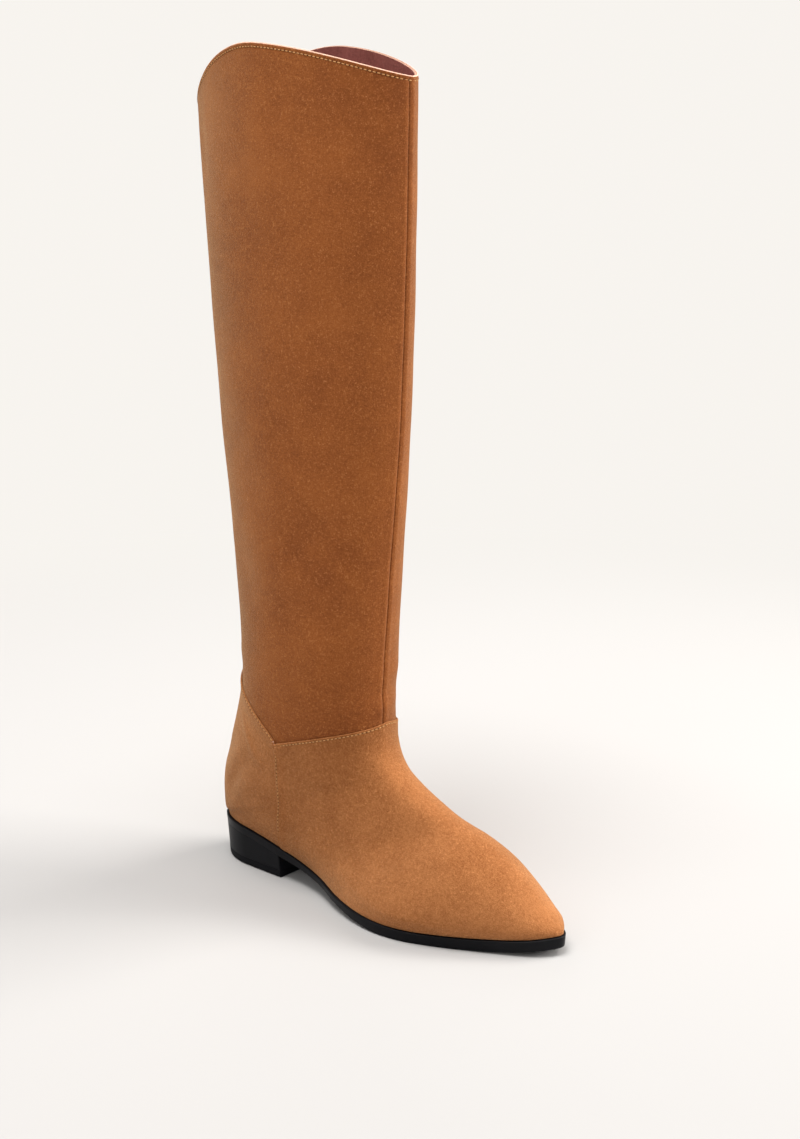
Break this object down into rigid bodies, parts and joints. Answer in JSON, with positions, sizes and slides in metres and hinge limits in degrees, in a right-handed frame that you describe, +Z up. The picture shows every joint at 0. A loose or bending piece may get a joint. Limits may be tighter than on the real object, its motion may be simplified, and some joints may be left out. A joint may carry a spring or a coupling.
{
  "type": "knee-high boot",
  "caption": "Right knee-high pull-on boot in tan suede with a pointed toe, curved collar, low block heel and thin black sole.",
  "frame": {"origin": "bottom centre of the bounding box, on the floor under the boot", "axes": "+X from heel to toe, +Y to the inner (big toe) side, +Z up the shaft"},
  "size_m": [0.2824, 0.083, 0.5215],
  "materials": {
    "suede": "tan suede, fine matt nap",
    "lining": "smooth dark red-brown lining leather",
    "sole": "black, satin"
  },
  "bodies": {
    "root": {"shaft": "suede", "upper": "suede", "insole": "lining", "outsole": "sole", "heel": "sole", "top_piece": "sole"}
  },
  "joints": []
}
